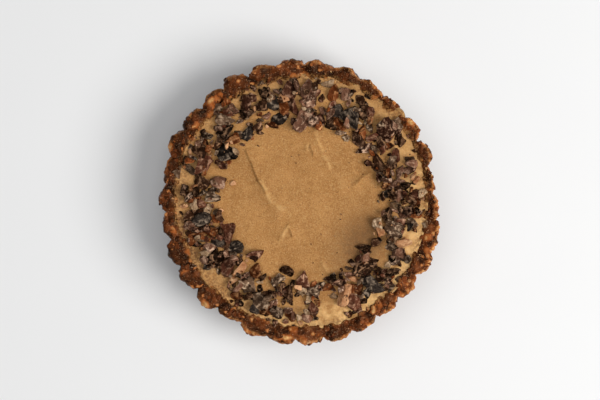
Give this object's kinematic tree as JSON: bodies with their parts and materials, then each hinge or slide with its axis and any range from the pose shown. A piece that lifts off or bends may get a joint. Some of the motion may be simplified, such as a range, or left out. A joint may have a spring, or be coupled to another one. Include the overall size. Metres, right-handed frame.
{
  "type": "peanut butter tartlet",
  "caption": "Round fluted tartlet: a crumbly date and nut crust filled level with peanut butter cream, with a ring of cacao nibs set in its top.",
  "frame": {"origin": "centre of the tartlet's flat underside, on the axis of its fluted wall", "axes": "+Z up out of the cream; seen from above with +Y up, +X is to the right as in the picture"},
  "size_m": [0.0984, 0.1001, 0.0232],
  "materials": {
    "date_nut_crust": "sticky pressed date paste with chopped nuts, rough, slightly glossy",
    "peanut_cream": "thick spread cream, fine grained, soft satin",
    "cacao_nibs": "broken cacao bean chips, dark, dry to lightly waxy"
  },
  "bodies": {
    "root": {"crust": "date_nut_crust", "filling": "peanut_cream"}
  },
  "joints": []
}
